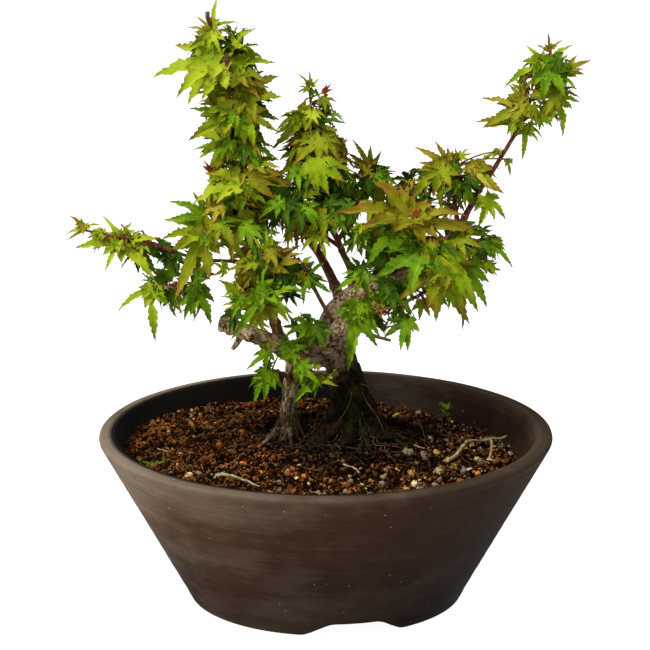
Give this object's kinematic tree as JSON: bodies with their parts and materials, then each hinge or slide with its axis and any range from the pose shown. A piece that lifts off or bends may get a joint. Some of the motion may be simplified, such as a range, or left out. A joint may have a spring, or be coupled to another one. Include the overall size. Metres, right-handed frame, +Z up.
{
  "type": "potted japanese maple bonsai",
  "caption": "Small Japanese maple bonsai in leaf: flared trunk, side stem, old stub and slender boughs carrying masses of lobed leaves, in a round unglazed clay bowl full of soil.",
  "frame": {"origin": "centre of the bowl, on the level plane that its feet stand on", "axes": "+Z up; the tall left leader is towards -X and the long right bough towards +X; -Y faces the viewer of the picture"},
  "size_m": [0.1773, 0.1578, 0.2077],
  "materials": {
    "unglazed_clay": "matt unglazed stoneware",
    "soil": "loose porous grains",
    "old_bark": "rough grey-brown bark",
    "young_bark": "smooth reddish-brown bark",
    "leaf": "satin leaf"
  },
  "bodies": {
    "root": {"bowl": "unglazed_clay", "soil": "soil", "trunk": "old_bark", "side_stem": "old_bark", "stub_limb": "old_bark", "right_bough": "old_bark", "centre_bough": "young_bark", "left_riser": "young_bark", "left_reach": "young_bark", "right_upper": "young_bark", "right_reach": "young_bark", "back_bough": "young_bark", "back_right_bough": "young_bark", "front_twig": "young_bark", "bare_twig": "young_bark", "foot_twig": "young_bark", "low_twig": "young_bark", "leaves_left_leader": "leaf", "leaves_left_heart": "leaf", "leaves_left_reach_inner": "leaf", "leaves_left_reach_tip": "leaf", "leaves_centre_leader": "leaf", "leaves_centre_low": "leaf", "leaves_centre_tuft": "leaf", "leaves_middle_spray": "leaf", "leaves_right_inner": "leaf", "leaves_right_low": "leaf", "leaves_right_outer": "leaf", "leaves_right_wing": "leaf", "leaves_right_tuft": "leaf", "leaves_far_right": "leaf", "leaves_back_left": "leaf", "leaves_back_centre": "leaf", "leaves_back_right": "leaf", "leaves_back_low": "leaf", "leaves_fork_spray": "leaf", "leaves_foot_spray": "leaf", "leaves_low_spray": "leaf"}
  },
  "joints": []
}
